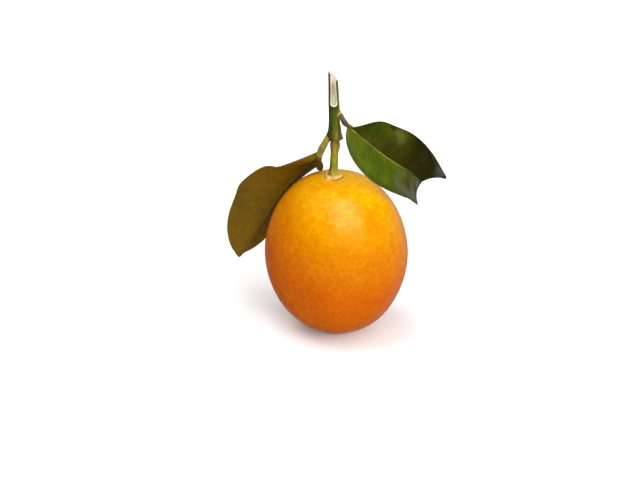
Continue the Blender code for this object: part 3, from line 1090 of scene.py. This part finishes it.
def spine_frames(leaf, shares):
    """Places, upward and leftward directions at stations along the midrib."""
    path = natural_curve(leaf.midrib, shares)
    ahead = unit(np.gradient(path, np.asarray(shares), axis=0))
    up = np.array(leaf.face, float)
    ups = []
    for forward in ahead:
        up = up - forward * (up @ forward)
        up /= np.linalg.norm(up)
        ups.append(up)
    ups = np.array(ups)
    return path, ups, np.cross(ups, ahead)


def along_blade(values, shares):
    """The smooth change along the blade through four evenly spaced values."""
    return np.polyval(np.polyfit([0, 1 / 3, 2 / 3, 1], values, 3), shares)


def half_width(powers, shares):
    """Half the blade's width at shares of its length, where its widest is 1."""
    base, tip = powers
    widest = base / (base + tip)
    return (shares / widest) ** base * ((1 - shares) / (1 - widest)) ** tip


def blade_line(leaf, shares, frames, across):
    """The blade's middle along one line from base to tip; across is -1 to 1."""
    path, ups, lefts = frames
    half = leaf.left if across > 0 else leaf.right
    out = abs(across)
    width = BLADE_END + (half.width - BLADE_END) * half_width(leaf.fullness, shares)
    width = width * (1 - half.waist * bell(shares - WAIST_PLACE, WAIST_REACH))
    close = shares / SHOULDER_PLACE
    width = width + half.shoulder * close * np.exp(1 - close)
    bend = np.radians(along_blade(half.cup, shares)) * out / 2
    droop = half.droop * bell(shares - DROOP_PLACE, DROOP_REACH)
    rise = np.radians(along_blade(half.fold, shares) - droop) + bend
    chord = width * out * np.sinc(bend / math.pi)
    wave = leaf.wave * out**2 * np.sin(FULL_TURN * leaf.waves * shares + across)
    wave = wave * rising(shares, half.calm)
    reach = math.copysign(1, across) * chord * np.cos(rise)
    place = path + lefts * reach[:, None] + ups * (chord * np.sin(rise) + wave)[:, None]
    return place, width * out


def blade_across():
    """Places across the blade, close together at the midrib and at the margins."""
    near = [0.006, 0.012, 0.019, 0.027, 0.037, 0.049, 0.063, 0.080, 0.10]
    wide = list(np.linspace(0.125, MARGIN, 40))
    edge = [0.970, 0.981, 0.989, 0.995, 0.9985, 1.0]
    half = near + wide + edge
    return [-value for value in reversed(half)] + [0.0] + half


def blade_relief(s, u, out):
    """Heights of the upper and the lower surface, and the veins, groove and midrib in them.

    s is the share of the length, u the share across, and out the distance from the midrib.
    """
    size = np.abs(u)
    phase = (s - VEIN_RUN * size + VEIN_CURVE * size**2) / VEIN_SPACING
    phase = phase + VEIN_WAVER * np.sin(VEIN_WAVES * s + 2 * np.sign(u))
    phase = phase + VEIN_STAGGER * (u > 0)
    gap = np.abs(phase - np.round(phase)) * VEIN_SPACING
    half_gap = np.abs(phase + 0.5 - np.round(phase + 0.5)) * VEIN_SPACING
    at_margin, at_rib, at_ends = VEIN_FADES
    fade = rising(VEIN_REACH - size, at_margin) * rising(size, at_rib)
    fade = fade * rising(s, at_ends) * rising(1 - s, at_ends)
    vein = bell(gap, VEIN_WIDTH) + SMALL_VEIN_SHARE * bell(half_gap, SMALL_VEIN_WIDTH)
    vein = vein * fade
    quilt = 0.5 - 0.5 * np.cos(FULL_TURN * phase)
    rib = bell(out, RIB_RADIUS - RIB_TAPER * s) * rising(RIB_END[0] - s, RIB_END[1])
    groove = bell(out, GROOVE_RADIUS) * rising(GROOVE_END[0] - s, GROOVE_END[1])

    margin = rising(size - MARGIN, 1 - MARGIN)
    thick = BLADE_THICKNESS / 2 * (1 - BLADE_THINNING * size**2)
    thick = thick * np.sqrt(np.maximum(1 - margin**2, 0))
    thick = thick * np.sqrt(rising(np.minimum(s, 1 - s), BLADE_ROUNDING))
    puff = QUILT_HEIGHT * quilt * fade
    upper = thick + puff - VEIN_DEPTH * vein - GROOVE_DEPTH * groove
    lower = -thick + puff - VEIN_HEIGHT * vein
    lower = lower - RIB_HEIGHT * rib * (1 - RIB_LOWERING * s)
    return upper, lower, vein, groove, rib


def petiole_rows(leaf):
    """The petiole's rows, and those of its run under the base of the blade."""
    path, ups, _ = spine_frames(leaf, ROOT_SHARES)
    path, ups = path[ROOT_PICK], ups[ROOT_PICK]
    start = leaf.petiole[-1][3] * ROOT_START
    rows = list(leaf.petiole)
    for fall, place, up in zip(np.linspace(0, 1, len(path)), path, ups):
        radius = start * (1 - fall) + ROOT_END * fall
        rows.append((*(place - up * ROOT_DROP * (1 + fall)), radius))
    return rows


def make_leaf(name, leaf, skin, stalk):
    """A blade with veins and midrib, closed all round, and its petiole."""
    shares = (1 - np.cos(np.pi * np.linspace(0, 1, BLADE_STATIONS + 1))) / 2
    frames = spine_frames(leaf, shares)
    across = blade_across()
    lines = [blade_line(leaf, shares, frames, value or AT_MIDRIB) for value in across]
    middle = np.stack([line[0] for line in lines], 1)
    out = np.stack([line[1] for line in lines], 1)
    normal = np.cross(np.gradient(middle, axis=1), np.gradient(middle, axis=0))
    normal /= np.linalg.norm(normal, axis=2)[:, :, None] + 1e-12
    flip = np.sign((normal[:, len(across) // 2] * frames[1]).sum(1))
    normal *= flip[:, None, None]
    s = np.tile(shares[:, None], (1, len(across)))
    u = np.tile(across, (len(shares), 1))
    upper, lower, vein, groove, rib = blade_relief(s, u, out)

    def all_round(above, below):
        return np.concatenate([above, below[:, -2:0:-1]], 1)

    top = middle + normal * upper[:, :, None]
    bottom = middle + normal * lower[:, :, None]
    ones = np.ones_like(out)
    numbers = {
        "vein": (vein, vein),
        "rib": (groove, rib),
        "side": (ones, -ones),
        "edge": (abs(u), abs(u)),
        "across": (u, u),
        "along": (s, s),
    }
    rings, loop = len(shares), 2 * len(across) - 2
    faces = ring_faces(rings, loop) + end_faces(rings, loop)
    blade_faces = len(faces)
    tube_points, tube_faces = tube_mesh(petiole_rows(leaf), PETIOLE_SIDES, PETIOLE_STEPS)
    faces += [tuple(rings * loop + corner for corner in face) for face in tube_faces]
    attributes = {}
    for key, (above, below) in numbers.items():
        on_petiole = np.full(len(tube_points), -1.0 if key == "side" else 0.0)
        attributes[key] = np.append(all_round(above, below), on_petiole)
    points = np.concatenate([all_round(top, bottom).reshape(-1, 3), tube_points])
    made = mesh_object(name, points, faces, attributes)
    face_outward(made.data)
    made.data.shade_smooth()
    made.data.materials.append(skin)
    made.data.materials.append(stalk)
    slots = np.zeros(len(made.data.polygons), dtype=np.int32)
    slots[blade_faces:] = 1
    made.data.polygons.foreach_set("material_index", slots)
    return made


# Stage


def aim(thing, place, target):
    """Put a lamp or camera in its place and point it at a target."""
    thing.location = place
    thing.rotation_euler = (target - place).to_track_quat("-Z", "Y").to_euler()


def add_lamp(name, place, size, power, **seen):
    """A square lamp that shines on the fruit, with the kinds of light that it shows in."""
    data = bpy.data.lights.new(name, "AREA")
    data.shape = "SQUARE"
    data.size = size
    data.energy = power
    lamp = add_object(name, data)
    aim(lamp, place, LAMP_TARGET)
    for key, value in seen.items():
        setattr(lamp, key, value)
    return lamp


def spare_from_shadow(lamp, thing):
    """Let the lamp's light pass the object."""
    spared = bpy.data.collections.new("spared")
    spared.objects.link(thing)
    spared.collection_objects[0].light_linking.link_state = "EXCLUDE"
    lamp.light_linking.blocker_collection = spared


def make_floor():
    """The white floor."""
    bm = bmesh.new()
    bmesh.ops.create_grid(bm, x_segments=1, y_segments=1, size=FLOOR_SIZE)
    floor = add_object("floor", take_mesh("floor", bm))
    s = Shader("floor")
    s.surface((0.98, 0.98, 0.98), 0.9, 0.0)
    s.set("Emission Color", (1, 1, 1))
    s.set("Emission Strength", FLOOR_GLOW)
    floor.data.materials.append(s.made)
    floor.location.z = -FLOOR_GAP
    floor.visible_glossy = False


def make_world():
    """Dim surroundings that are brighter behind and to the right."""
    s = Shader("studio", "worlds", "Background")
    toward = s.vector("DOT_PRODUCT", s.node("TexCoord").outputs["Generated"], WORLD_BRIGHT)
    s.set("Color", WORLD_COLOUR)
    s.set("Strength", s.step(toward, *WORLD_TURN, WORLD_FRONT, WORLD_REAR))
    bpy.context.scene.world = s.made


def make_stage():
    """White floor, soft light and a camera where the photograph's was; returns two lamps."""
    make_floor()
    make_world()
    key = add_lamp("key", *KEY, visible_glossy=False)
    add_lamp("glint", *GLINT, visible_diffuse=False)
    top = add_lamp("top", *TOP, visible_glossy=False)
    add_lamp("fill", *FILL, visible_glossy=False)

    data = bpy.data.cameras.new("camera")
    data.sensor_width = CAMERA_SENSOR
    data.lens = CAMERA_LENS
    data.clip_start = CAMERA_CLIP
    camera = add_object("camera", data)
    aim(camera, CAMERA_PLACE, CAMERA_TARGET)
    scene = bpy.context.scene
    scene.camera = camera
    scene.view_settings.view_transform = "Standard"
    scene.view_settings.look = "None"
    return key, top


def make_right_leaf():
    """The higher leaf, with painted shade on its far half and towards its tip."""
    skin = leaf_material(
        "leaf_green",
        right=(0.056, 0.078, 0.0015),
        # The far half's darker green is painted shade
        left=(0.022, 0.021, 0.0002),
        lower=(0.17, 0.2, 0.04),
        rib_upper=(0.26, 0.29, 0.06),
        rib_lower=(0.3, 0.3, 0.08),
        dark_tip=0.80,
    )
    stalk = petiole_material(
        "petiole_right",
        young=(0.11, 0.1, 0.018),
        old=(0.035, 0.018, 0.009),
        middle=(0.00150, -0.00080, 0.04715),
        rib=(0.24, 0.25, 0.06),
        foot=0.0464,
    )
    return make_leaf("blade_right", RIGHT_LEAF, skin, stalk)


def make_left_leaf():
    """The lower leaf, whose brown underside is painted: shade and orange light reflected from
    the fruit on a pale green underside.
    """
    skin = leaf_material(
        "leaf_olive",
        right=(0.07, 0.095, 0.005),
        left=(0.07, 0.095, 0.005),
        # Painted shade and painted orange reflected light make the underside, its midrib and the
        # upper side near the base brown
        lower=(0.168, 0.09, 0.0035),
        rib_upper=(0.24, 0.27, 0.06),
        rib_lower=(0.16, 0.085, 0.006),
        base=0.22,
    )
    stalk = petiole_material(
        "petiole_left",
        young=(0.33, 0.26, 0.032),
        old=(0.13, 0.11, 0.012),
        middle=(-0.00330, 0.00100, 0.04040),
        rib=(0.1, 0.055, 0.004),
        foot=0.0386,
    )
    return make_leaf("blade_left", LEFT_LEAF, skin, stalk)


def main():
    """Dress the frame."""
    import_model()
    lamps = make_stage()

    fruit = make_fruit()
    calyx = make_calyx()
    twig = make_twig()
    leaf_right = make_right_leaf()
    leaf_left = make_left_leaf()
    for lamp in lamps:
        spare_from_shadow(lamp, leaf_right)

    for piece, node, slot in (
        (fruit, "fruit", "peel"),
        (calyx, "calyx", "calyx"),
        (twig, "twig", "bark"),
        (leaf_right, "leaf_right", "leaf_green"),
        (leaf_left, "leaf_left", "leaf_underside"),
    ):
        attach(piece, "root")
        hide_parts(node)

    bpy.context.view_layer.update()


main()
